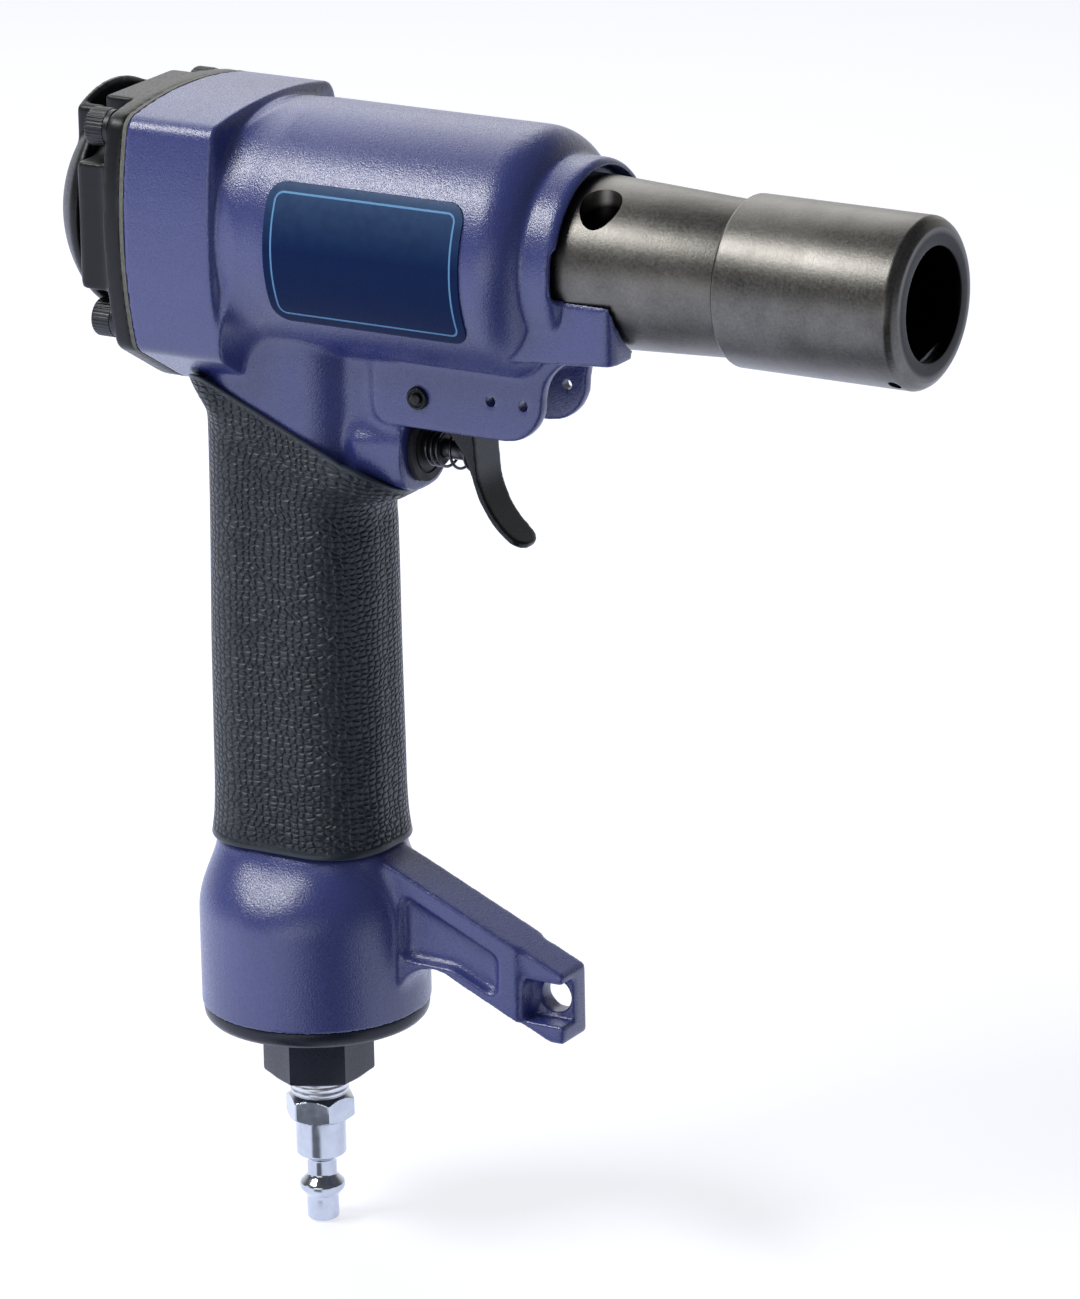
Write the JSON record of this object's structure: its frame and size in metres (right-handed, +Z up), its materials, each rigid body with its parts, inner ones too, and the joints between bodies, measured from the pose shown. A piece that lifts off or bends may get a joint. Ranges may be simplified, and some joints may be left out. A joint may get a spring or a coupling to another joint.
{
  "type": "pneumatic stamping hammer",
  "caption": "Pistol-grip air hammer with a rubber grip, side label plate, nose tube and screw-on sleeve that holds a stamp holder, a trigger, a rear exhaust deflector and an air-hose plug.",
  "frame": {"origin": "centre of the sleeve's mouth, on the barrel axis", "axes": "+X along the barrel axis, out of the sleeve's mouth; +Y to the user's left; +Z up, with the grip below"},
  "size_m": [0.2182, 0.0572, 0.2685],
  "materials": {
    "cast_blue": "satin blue-violet paint over a fine sand-cast texture",
    "cap_black": "satin black paint",
    "gasket": "beige fibre sheet",
    "screw_black": "black oxide",
    "gunmetal": "turned steel with a dark oil finish",
    "dark_steel": "dark ground steel",
    "bright_steel": "ground bright",
    "alloy": "machined",
    "seal": "matt black",
    "bumper_rubber": "dark brown urethane",
    "grip_rubber": "matt black with a pebbled grain",
    "trigger_black": "satin black",
    "valve_black": "moulded black",
    "spring_steel": "dark spring wire",
    "hex_navy": "navy-black paint",
    "zinc": "bright zinc plate",
    "tape": "white sealing tape",
    "label": "navy plate with a thin pale-blue inset border"
  },
  "bodies": {
    "body": {"housing": "cast_blue", "cap_gasket": "gasket", "rear_cap": "cap_black", "cap_screws": "screw_black", "lock_washers": "screw_black", "deflector_bush": "dark_steel", "deflector_screw": "screw_black", "head_valve_spring": "spring_steel", "cylinder": "alloy", "cylinder_seals": "seal", "bumper": "bumper_rubber", "nose_tube": "gunmetal", "grip": "grip_rubber", "trigger_pin": "screw_black", "trigger_pin_clip": "spring_steel", "trigger_spacers": "dark_steel", "trigger_valve_body": "valve_black", "trigger_valve_seals": "seal", "trigger_spring": "spring_steel", "end_cap": "hex_navy", "end_cap_seal": "seal", "air_plug": "zinc", "thread_tape": "tape", "label_plate": "label"},
    "sleeve": {"holder_sleeve": "gunmetal", "index_key": "dark_steel", "key_pin": "dark_steel"},
    "hammer": {"piston": "bright_steel", "piston_ring": "dark_steel", "ram": "bright_steel"},
    "head_valve_body": {"head_valve": "alloy", "head_valve_seals": "seal"},
    "deflector": {"exhaust_deflector": "cap_black"},
    "trigger_lever": {"trigger": "trigger_black"},
    "stem": {"valve_stem": "bright_steel"}
  },
  "joints": [
    {"name": "sleeve_off", "type": "slide", "parent": "body", "child": "sleeve", "axis": [1, 0, 0], "range_m": [0, 0.04]},
    {"name": "hammer_stroke", "type": "slide", "parent": "body", "child": "hammer", "axis": [1, 0, 0], "range_m": [0, 0.0426]},
    {"name": "head_valve_lift", "type": "slide", "parent": "body", "child": "head_valve_body", "axis": [-1, 0, 0], "range_m": [0, 0.003], "stiffness_N_per_m": 1500, "springref_m": -0.004, "deforming": ["head_valve_spring"]},
    {"name": "deflector_turn", "type": "hinge", "parent": "body", "child": "deflector", "pos_m": [-0.21, 0, 0], "axis": [1, 0, 0], "continuous": true},
    {"name": "trigger_pull", "type": "hinge", "parent": "body", "child": "trigger_lever", "pos_m": [-0.123, 0, -0.0338], "axis": [0, 1, 0], "range_deg": [0, 10], "stiffness_Nm_per_rad": 0.4, "springref_deg": -8.59, "deforming": ["trigger_spring"]},
    {"name": "stem_push", "type": "slide", "parent": "body", "child": "stem", "axis": [-1, 0, 0], "range_m": [0, 0.0027]}
  ],
  "couplings": [
    {"joint": "stem_push", "follows": "trigger_pull", "m_per_rad": 0.0145}
  ]
}
